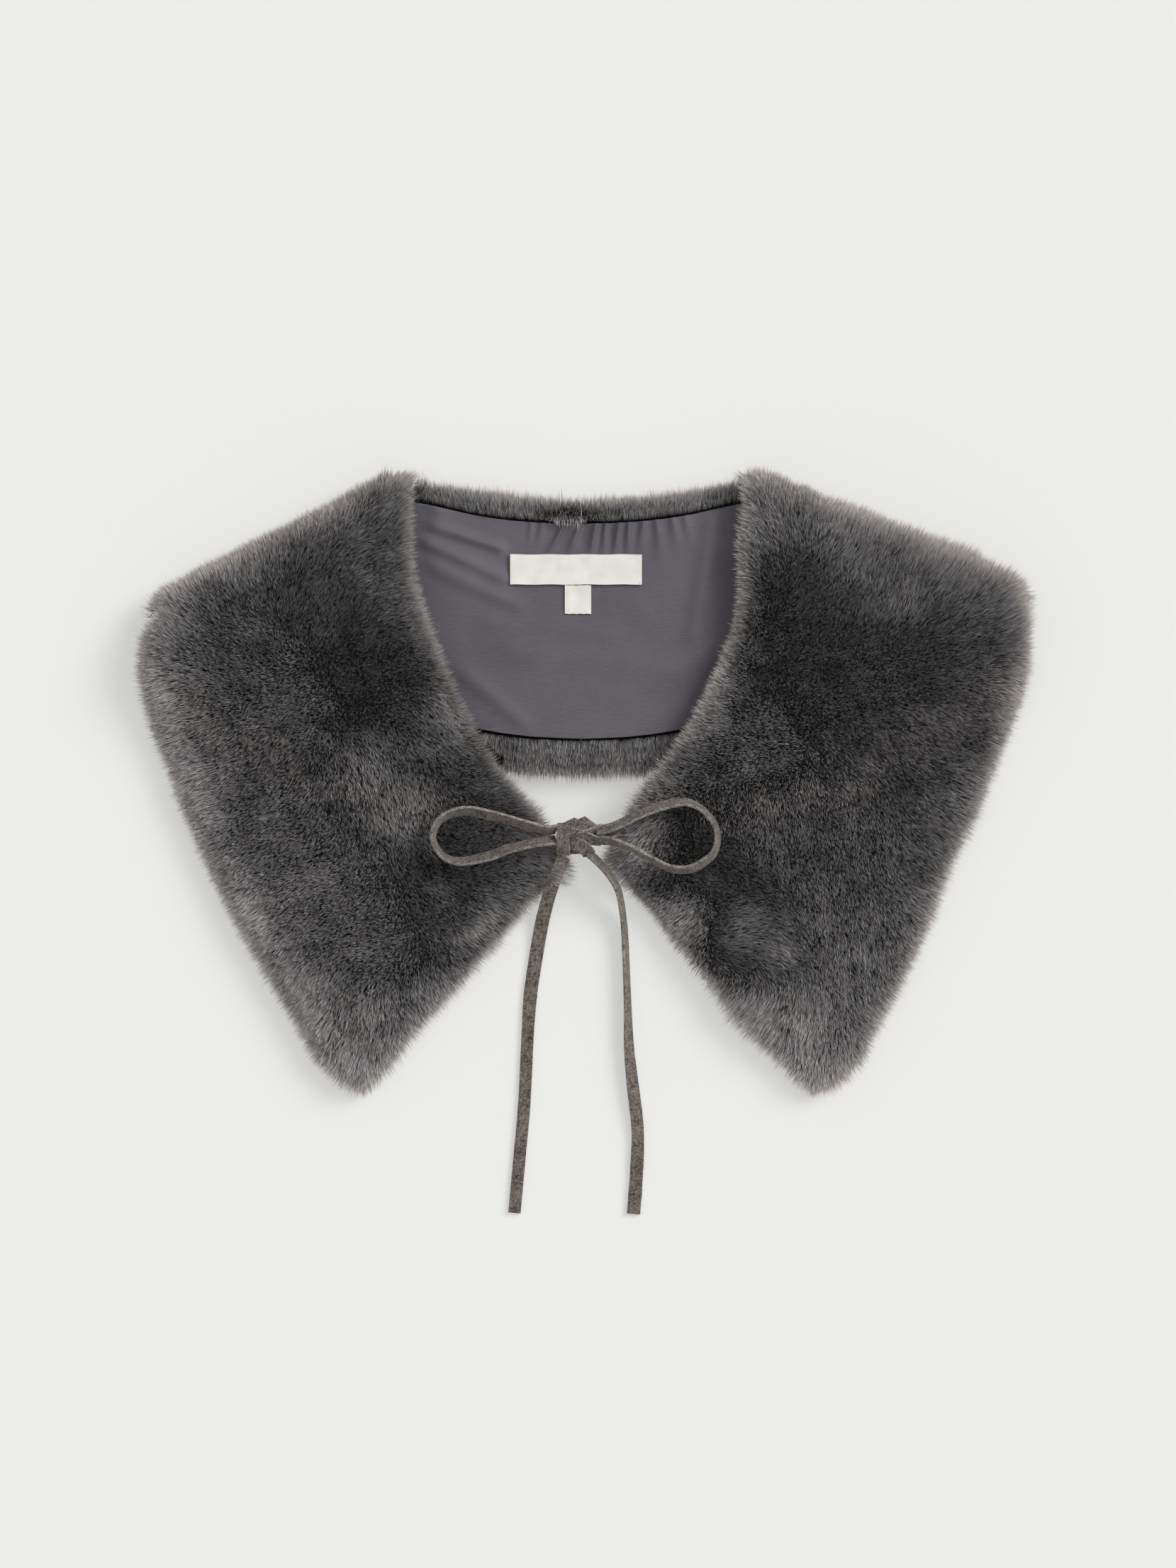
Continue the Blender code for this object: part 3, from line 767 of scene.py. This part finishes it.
def strap_shape(rows, wide_of, seed, step=1.2 * MM):
    """A flat strap along rows that start with x, y and z, and the line through its middle."""
    places = []
    for index in range(len(rows) - 1):
        run = np.linalg.norm(rows[index + 1][:3] - rows[index][:3])
        steps = max(2, round(run / step))
        places += [index + k / steps for k in range(steps)]
    places.append(len(rows) - 1)
    samples = np.array([hermite(rows, place) for place in places])
    centres = samples[:, :3]
    along = unit(np.gradient(centres, axis=0))
    wide = wide_of(along, samples[:, 3:])
    thick = np.cross(wide, along)
    rng = np.random.default_rng(seed)
    drift = np.cumsum(rng.normal(0, 0.012, (len(centres), 2)), axis=0)
    drift = np.clip(drift - drift.mean(axis=0), -0.05, 0.05)
    rings = [
        centres
        + wide * (across * STRAP_WIDTH / 2 * (1 + drift[:, :1]))
        + thick * (up * STRAP_THICKNESS / 2 * (1 + drift[:, 1:]))
        for across, up in SECTION
    ]
    sides = len(SECTION)
    points = np.stack(rings, axis=1).reshape(-1, 3)
    faces = []
    slots = []
    for ring in range(len(centres) - 1):
        for side in range(sides):
            low = ring * sides
            after = (side + 1) % sides
            faces.append((low + side, low + after, low + sides + after, low + sides + side))
            slots.append(1 if side in CUT_EDGE_SIDES else 0)
    last = (len(centres) - 1) * sides
    faces.append(tuple(reversed(range(sides))))
    faces.append(tuple(last + side for side in range(sides)))
    slots += [1, 1]
    return points, faces, slots, centres


def rolled(along, values):
    """The strap's wide direction where a row gives its roll about the route."""
    level = unit(np.cross(along, np.array([0.0, 0.0, 1.0])))
    upright = np.cross(level, along)
    roll = np.radians(values[:, :1])
    return level * np.cos(roll) + upright * np.sin(roll)


def aimed(along, values):
    """The strap's wide direction where a row gives it outright."""
    wide = values[:, :3]
    return unit(wide - along * (wide * along).sum(axis=1, keepdims=True))


def suede_object(name, shapes):
    """One suede piece of all the strap shapes given."""
    points = []
    faces = []
    slots = []
    for shape_points, shape_faces, shape_slots in shapes:
        base = len(points)
        points += [tuple(point) for point in shape_points]
        faces += [tuple(base + corner for corner in face) for face in shape_faces]
        slots += shape_slots
    mesh = bpy.data.meshes.new(name)
    mesh.from_pydata(points, [], faces)
    mesh.polygons.foreach_set("material_index", slots)
    mesh.materials.append(FINISHES["suede"])
    mesh.materials.append(FINISHES["suede_edge"])
    mesh.shade_smooth()
    mesh.set_sharp_from_angle(angle=math.radians(40))
    mesh.update()
    made = bpy.data.objects.new(name, mesh)
    bpy.context.scene.collection.objects.link(made)
    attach(made, "root")
    return made


def rows_of(route, offset):
    """A route's rows in metres, in the scene's frame."""
    rows = []
    for row in route:
        values = np.array(row, float)
        values[:3] = values[:3] * MM + np.array(offset)
        rows.append(values)
    return rows


def add_tie(name, node, route, offset):
    points, faces, slots, centres = strap_shape(rows_of(route, offset), rolled, SEED + len(route))
    made = suede_object(name, [(points, faces, slots)])
    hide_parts(node)
    return made


# Straps that the knot is wound of: x, y and z in mm, then the strap's wide direction
KNOT_WRAP = (
    (-8.0, -24.6, 12.4, 1.0, 0.0, 0.0),
    (-8.0, -20.0, 12.9, 1.0, 0.0, 0.0),
    (-7.9, -18.8, 15.2, 1.0, 0.0, 0.0),
    (-7.9, -18.7, 18.6, 1.0, 0.0, 0.0),
    (-8.1, -20.4, 21.2, 1.0, 0.0, 0.1),
    (-8.3, -24.0, 22.4, 1.0, 0.05, 0.12),
    (-8.3, -28.8, 21.8, 1.0, 0.05, 0.1),
    (-8.1, -31.6, 19.4, 1.0, 0.0, 0.0),
    (-8.0, -31.8, 15.6, 1.0, 0.0, 0.0),
    (-8.0, -29.4, 13.0, 1.0, 0.0, 0.0),
    (-8.0, -24.6, 12.4, 1.0, 0.0, 0.0),
)
# Folded faces of the knot, each a corner list round its outline: x, y and z in mm
KNOT_CREST = (
    (-7.6, -21.5, 22.3),
    (-10.4, -19.0, 19.6),
    (-3.1, -15.4, 19.4),
    (-0.4, -16.9, 21.2),
    (-0.6, -23.8, 22.6),
    (-5.2, -24.4, 22.9),
)
KNOT_FOLD = (
    (-1.6, -16.3, 20.6),
    (1.6, -14.9, 19.0),
    (7.2, -18.9, 18.4),
    (3.6, -21.2, 20.4),
    (-0.4, -23.9, 21.4),
    (-3.2, -20.4, 21.8),
)
KNOT_FACE = (
    (-5.2, -23.4, 22.2),
    (-0.2, -23.6, 22.4),
    (2.6, -26.6, 21.2),
    (4.2, -29.4, 19.2),
    (1.4, -32.0, 18.2),
    (-4.9, -32.2, 18.8),
)
KNOT_LOOP_TOP = (
    (9.4, -20.4, 19.6, 0.0, 0.62, 0.79),
    (6.2, -21.4, 19.9, 0.0, 0.62, 0.79),
    (3.0, -22.8, 20.2, 0.05, 0.68, 0.72),
    (-0.6, -24.2, 20.2, 0.05, 0.75, 0.60),
)
KNOT_LOOP_IN = (
    (9.4, -26.2, 18.3, 0.0, 0.62, 0.79),
    (6.4, -25.8, 19.0, 0.0, 0.70, 0.70),
    (3.2, -25.0, 20.0, 0.05, 0.80, 0.60),
    (0.2, -24.0, 20.9, 0.1, 0.88, 0.40),
    (-4.6, -23.4, 20.6, 0.1, 0.95, 0.20),
)
KNOT_FILL = (
    (-0.6, -23.8, 17.8, 0.1, 0.9, 0.3),
    (4.0, -23.4, 17.8, 0.1, 0.9, 0.3),
    (9.0, -22.8, 18.2, 0.0, 0.9, 0.45),
    (14.0, -21.0, 19.6, -0.1, 0.85, 0.6),
    (18.5, -18.6, 21.4, -0.2, 0.75, 0.8),
)
KNOT_UNDER = (
    (-7.6, -26.4, 19.0, 0.1, 0.95, 0.0),
    (-4.2, -27.2, 20.6, 0.15, 0.95, 0.1),
    (-1.0, -28.0, 21.0, 0.4, 0.88, 0.15),
    (1.8, -29.8, 20.0, 0.7, 0.65, 0.2),
    (3.6, -32.0, 17.6, 0.85, 0.45, 0.25),
)
KNOT_CORE_INSET = 2.0 * MM


def knot_core():
    """The plain solid of the knot drawn in, which fills it between the wound straps."""
    shape = bmesh.new()
    shape.from_mesh(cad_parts["tie_knot"].data)
    bmesh.ops.remove_doubles(shape, verts=shape.verts, dist=1e-5)
    shape.normal_update()
    points = [tuple(vertex.co - vertex.normal * KNOT_CORE_INSET) for vertex in shape.verts]
    faces = [tuple(vertex.index for vertex in face.verts) for face in shape.faces]
    shape.free()
    return points, faces, [0] * len(faces)


def folded_face(corners, offset):
    """A folded stretch of strap seen flat on: a slab round its corners, with its rim turned down."""
    outline = np.array([row[:3] for row in rows_of(corners, offset)])
    middle = outline.mean(axis=0)
    inward = unit(middle - outline)
    down = np.array((0.0, 0.0, -1.0))
    rings = [
        outline + inward * inset * MM + down * drop * MM
        for inset, drop in ((0.3, 3.4), (0.0, 3.0), (0.0, 0.7), (0.25, 0.2), (0.9, 0.0))
    ]
    points = np.concatenate(rings + [middle[None]])
    sides = len(corners)
    faces = []
    for ring in range(len(rings) - 1):
        for side in range(sides):
            low = ring * sides
            after = (side + 1) % sides
            faces.append((low + side, low + sides + side, low + sides + after, low + after))
    top = (len(rings) - 1) * sides
    for side in range(sides):
        faces.append((top + side, len(points) - 1, top + (side + 1) % sides))
    faces.append(tuple(range(sides)))
    return points, faces, [0] * len(faces)


def add_knot(offset):
    """The knot as wound: a wrap, the folds over its top, and the end that leaves as a tail."""
    shapes = [knot_core()]
    shapes += [folded_face(corners, offset) for corners in (KNOT_CREST, KNOT_FOLD, KNOT_FACE)]
    for number, route in enumerate((KNOT_WRAP, KNOT_LOOP_TOP, KNOT_LOOP_IN, KNOT_FILL, KNOT_UNDER)):
        shapes.append(strap_shape(rows_of(route, offset), aimed, SEED + number, step=0.8 * MM)[:3])
    knot = suede_object("suede_knot", shapes)
    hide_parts("tie_knot")
    return knot


def add_ties(offset):
    knot = add_knot(offset)
    add_tie("bow_loop_left", "tie_loop_left", LOOP_LEFT, offset)
    add_tie("bow_loop_right", "tie_loop_right", LOOP_RIGHT, offset)
    add_tie("strap_end_left", "tie_tail_left", TAIL_LEFT, offset)
    add_tie("strap_end_right", "tie_tail_right", TAIL_RIGHT, offset)
    for word in ("left", "right"):
        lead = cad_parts[f"tie_lead_{word}"]
        lead.data.materials.clear()
        lead.data.materials.append(FINISHES["suede"])


# Puckers where the lining is gathered at the neck seam: x at the seam, drift of x for each mm
# down, length, height and half width, all in mm
PUCKERS = (
    (-24, -0.10, 9, 0.9, 1.0),
    (-19, -0.20, 10, 1.0, 1.1),
    (-9, -0.50, 18, 1.8, 1.2),
    (-2, -0.35, 16, 1.9, 1.2),
    (5.5, -0.20, 17, 2.3, 1.1),
    (10, -0.10, 13, 2.1, 1.0),
    (16, -0.15, 18, 2.3, 1.1),
    (20.5, -0.05, 14, 2.1, 1.1),
    (27, -0.10, 12, 1.6, 1.3),
    (33, 0.10, 13, 1.6, 1.4),
    (40, 0.20, 11, 1.3, 1.4),
    (46, 0.20, 10, 1.2, 1.4),
)
# Soft folds: x and y of both ends, height and half width, all in mm
SOFT_FOLDS = (
    (-68, 117, -40, 108, 1.9, 2.4),
    (-70, 109, -38, 94, 1.9, 3.2),
    (-66, 98, -32, 82, 1.4, 4.0),
    (58, 118, 50, 70, 1.3, 4.0),
    (-30, 60, 40, 52, 0.8, 7.0),
    (-52, 48, -30, 30, 1.1, 4.0),
    (20, 40, 60, 62, 0.8, 6.0),
    (-40, 74, 10, 68, 0.6, 5.0),
)
LINING_VIEW = (88 * MM, 10 * MM, 132 * MM)  # half width, lowest and highest y of what shows
CLOTH_STEP = 2.2 * MM
GATHERED_STEP = 0.9 * MM  # where the lining is gathered, above GATHERED_Y
GATHERED_Y = 100 * MM


def neck_seam(x):
    """The y in mm of the lining's upper seam."""
    return 118.3 + 0.00165 * x * x


def lining_rise(x, y):
    """How far the lining stands off at a place, all in mm."""
    down = np.maximum(neck_seam(x) - y, 0)
    rise = 0
    for seam_x, drift, length, height, half in PUCKERS:
        across = (x - seam_x - drift * down) / (half * (1 + down / length * 0.8))
        rise = rise + height * np.exp(-(across**2)) * np.exp(-((down / length) ** 2))
    for x0, y0, x1, y1, height, half in SOFT_FOLDS:
        run = math.hypot(x1 - x0, y1 - y0)
        ux, uy = (x1 - x0) / run, (y1 - y0) / run
        along = (x - x0) * ux + (y - y0) * uy
        aside = (x - x0) * uy - (y - y0) * ux
        past = np.maximum(np.maximum(-along, along - run), 0)
        rise = rise + height * np.exp(-((aside / half) ** 2) - (past / (half * 1.6)) ** 2)
    rise = rise + 0.22 * np.sin(x / 7.1 + np.sin(y / 11.0) * 1.3) * np.sin(y / 8.3 + 0.8 + x / 40)
    rise = rise + 0.25
    under_label = np.clip((np.maximum(np.abs(x + 2.0) - 31, np.abs(y - 97) - 8) + 4) / 8, 0, 1)
    return rise * under_label


def add_lining():
    """The lining with its gathers and soft folds, from the solid's own form."""
    shape = bmesh.new()
    shape.from_mesh(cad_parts["lining"].data)
    bmesh.ops.remove_doubles(shape, verts=shape.verts, dist=1e-6)
    half_width, low, high = LINING_VIEW

    def shows(vertex):
        x, y, _ = vertex.co
        return abs(x) < half_width and low < y < high and vertex.normal.z > 0.2

    def too_long(edge):
        ends = edge.verts
        near = min(abs(end.co.x) for end in ends) < 60 * MM
        high_up = max(end.co.y for end in ends) > GATHERED_Y
        step = GATHERED_STEP if near and high_up else CLOTH_STEP
        return edge.calc_length() > step and (shows(ends[0]) or shows(ends[1]))

    for _ in range(8):
        shape.normal_update()
        long_edges = [edge for edge in shape.edges if too_long(edge)]
        if not long_edges:
            break
        bmesh.ops.subdivide_edges(shape, edges=long_edges, cuts=1)
        bmesh.ops.triangulate(shape, faces=shape.faces)
    shape.normal_update()
    for vertex in shape.verts:
        if shows(vertex) and vertex.normal.z > 0.55:
            x, y, _ = vertex.co / MM
            past = min((half_width / MM - abs(x)) / 12, (y - low / MM) / 4, (high / MM - y) / 3, 1)
            vertex.co.z += float(lining_rise(x, y)) * MM * max(past, 0)
    mesh = bpy.data.meshes.new("twill_lining")
    shape.to_mesh(mesh)
    area = sum(face.calc_area() for face in shape.faces) / 2
    shape.free()
    made = bpy.data.objects.new("twill_lining", mesh)
    bpy.context.scene.collection.objects.link(made)
    mesh.materials.append(FINISHES["lining"])
    mesh.shade_smooth()
    mesh.set_sharp_from_angle(angle=math.radians(60))
    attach(made, "root")
    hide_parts("lining")
    return made, area


def add_tape(name, node, stitched_sides):
    """A woven tape on the place of its solid: softly waved, with edges turned."""
    low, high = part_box(node)
    columns = max(6, round((high.x - low.x) / (1.0 * MM)))
    rows = max(6, round((high.y - low.y) / (1.0 * MM)))
    base = low.z
    top = min(high.z, low.z + 0.9 * MM)
    points = []
    for level in (0, 1):
        for row in range(rows + 1):
            for column in range(columns + 1):
                across = column / columns
                up = row / rows
                x = low.x + (high.x - low.x) * across
                y = low.y + (high.y - low.y) * up
                wave = math.sin(across * 9 + 1) * 0.12 + math.sin(across * 4 + up * 3) * 0.10
                lip = min(across, 1 - across) * columns
                turned = 0.25 * math.exp(-((lip / 2.5) ** 2)) if stitched_sides else 0
                curl = 0.22 * abs(2 * up - 1) ** 3
                lift = (wave + turned + curl) * MM * 0.8
                edge = 0.10 * MM * math.sin(across * 23 + level) * (1 if row in (0, rows) else 0)
                z = base if level == 0 else top + lift
                points.append((x, y + edge, z if level else base + max(lift, 0) * 0.6))
    stride = (rows + 1) * (columns + 1)
    faces = []
    for row in range(rows):
        for column in range(columns):
            a = row * (columns + 1) + column
            quad = (a, a + 1, a + columns + 2, a + columns + 1)
            faces.append(tuple(reversed(quad)))
            faces.append(tuple(corner + stride for corner in quad))
    rim = [column for column in range(columns + 1)]
    rim += [row * (columns + 1) + columns for row in range(1, rows + 1)]
    rim += [rows * (columns + 1) + column for column in range(columns - 1, -1, -1)]
    rim += [row * (columns + 1) for row in range(rows - 1, 0, -1)]
    for index, corner in enumerate(rim):
        after = rim[(index + 1) % len(rim)]
        faces.append((corner, after, after + stride, corner + stride))
    made = add_mesh(name, points, faces, FINISHES["label"])
    made.data.set_sharp_from_angle(angle=math.radians(60))
    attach(made, "root")
    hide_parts(node)
    return made


def add_stitches(name, runs):
    """Short thread stitches along straight runs: both ends, and the height of the cloth."""
    points = []
    faces = []
    for (x0, y0, x1, y1, z) in runs:
        start = Vector((x0, y0, z)) * MM
        run = Vector((x1 - x0, y1 - y0, 0)) * MM
        count = max(1, round(run.length / (2.1 * MM)))
        way = run.normalized()
        side = Vector((-way.y, way.x, 0)) * 0.16 * MM
        for number in range(count):
            first = start + run * ((number + 0.14) / count)
            last = start + run * ((number + 0.86) / count)
            base = len(points)
            for share, rise, swell in ((0, -0.1, 0.5), (0.2, 0.12, 1), (0.5, 0.2, 1), (0.8, 0.12, 1), (1, -0.1, 0.5)):
                centre = first.lerp(last, share) + Vector((0, 0, rise * MM))
                up = Vector((0, 0, 0.15 * MM * swell))
                points += [centre - side * swell, centre + up, centre + side * swell, centre - up]
            for ring in range(4):
                for corner in range(4):
                    a = base + ring * 4 + corner
                    b = base + ring * 4 + (corner + 1) % 4
                    faces.append((a, b, b + 4, a + 4))
            faces.append((base + 3, base + 2, base + 1, base))
            faces.append((base + 16, base + 17, base + 18, base + 19))
    made = add_mesh(name, [tuple(point) for point in points], faces, FINISHES["thread"])
    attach(made, "root")
    return made


def add_cloth():
    """Lining, label and tab, with the stitches sewn on the label."""
    lining, area = add_lining()
    label = add_tape("neck_label_tape", "neck_label", True)
    tab = add_tape("size_tab_tape", "size_tab", False)
    low, high = (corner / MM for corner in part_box("neck_label"))
    top = min(high.z, low.z + 0.9)
    runs = (
        (low.x + 0.9, low.y - 0.4, low.x + 0.9, low.y + 1.3, top + 0.1),
        (high.x - 0.9, low.y - 0.4, high.x - 0.9, low.y + 1.3, top + 0.1),
        (low.x + 0.9, high.y - 1.3, low.x + 0.9, high.y + 0.4, top + 0.1),
        (high.x - 0.9, high.y - 1.3, high.x - 0.9, high.y + 0.4, top + 0.1),
    )
    stitches = add_stitches("label_stitches", runs)


def add_camera(offset):
    data = bpy.data.cameras.new("camera")
    data.sensor_fit = "VERTICAL"
    data.sensor_height = SENSOR
    data.sensor_width = SENSOR * PHOTO_WIDTH / PHOTO_HEIGHT
    view_height = PHOTO_HEIGHT / PIXELS_PER_MM * MM
    data.lens = SENSOR * (CAMERA_HEIGHT - 0.012) / view_height
    data.clip_end = 20
    camera = bpy.data.objects.new("camera", data)
    camera.location = (PHOTO_CENTRE[0] + offset[0], PHOTO_CENTRE[1] + offset[1], CAMERA_HEIGHT)
    bpy.context.scene.collection.objects.link(camera)
    bpy.context.scene.camera = camera


def add_sun(name, way, spread, strength, colour):
    """A soft distant light that shines from the way given."""
    data = bpy.data.lights.new(name, "SUN")
    data.angle = math.radians(spread)
    data.energy = strength
    data.color = colour
    light = bpy.data.objects.new(name, data)
    light.location = way
    light.rotation_euler = (-Vector(way)).to_track_quat("-Z", "Y").to_euler()
    bpy.context.scene.collection.objects.link(light)


def add_studio():
    floor = add_mesh(
        "floor",
        [(-4, -4, 0), (4, -4, 0), (4, 4, 0), (-4, 4, 0)],
        [(0, 1, 2, 3)],
        FINISHES["floor"],
    )
    add_sun("key_light", (1.5, 0.95, 1.3), 30, 2.3, (1.0, 0.985, 0.965))
    world = bpy.data.worlds.new("studio")
    world.use_nodes = True
    background = world.node_tree.nodes["Background"]
    background.inputs["Color"].default_value = (1.0, 1.0, 1.0, 1.0)
    background.inputs["Strength"].default_value = 0.60
    bpy.context.scene.world = world
    bpy.context.scene.view_settings.view_transform = "Standard"


FINISHES = {
    "strand": fur_strand_finish(),
    "backing": fur_base_finish(),
    "lining": lining_finish(),
    "label": label_finish(),
    "thread": thread_finish(),
    "suede": suede_finish("suede_face", (0.032, 0.028, 0.024), (0.222, 0.193, 0.168)),
    "suede_edge": suede_finish("suede_cut_edge", (0.085, 0.076, 0.067), (0.36, 0.325, 0.29)),
    "floor": floor_finish(),
}


def main():
    low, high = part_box("tie_knot")
    offset = Vector(((low.x + high.x) / 2, (low.y + high.y) / 2, (low.z + high.z) / 2)) - KNOT_CENTRE
    offset.z = 0.0
    add_camera(offset)
    add_ties(offset)
    lining = Form("lining")
    add_fur(-1, "left", lining)
    add_fur(1, "right", lining)
    add_cloth()
    add_studio()


main()
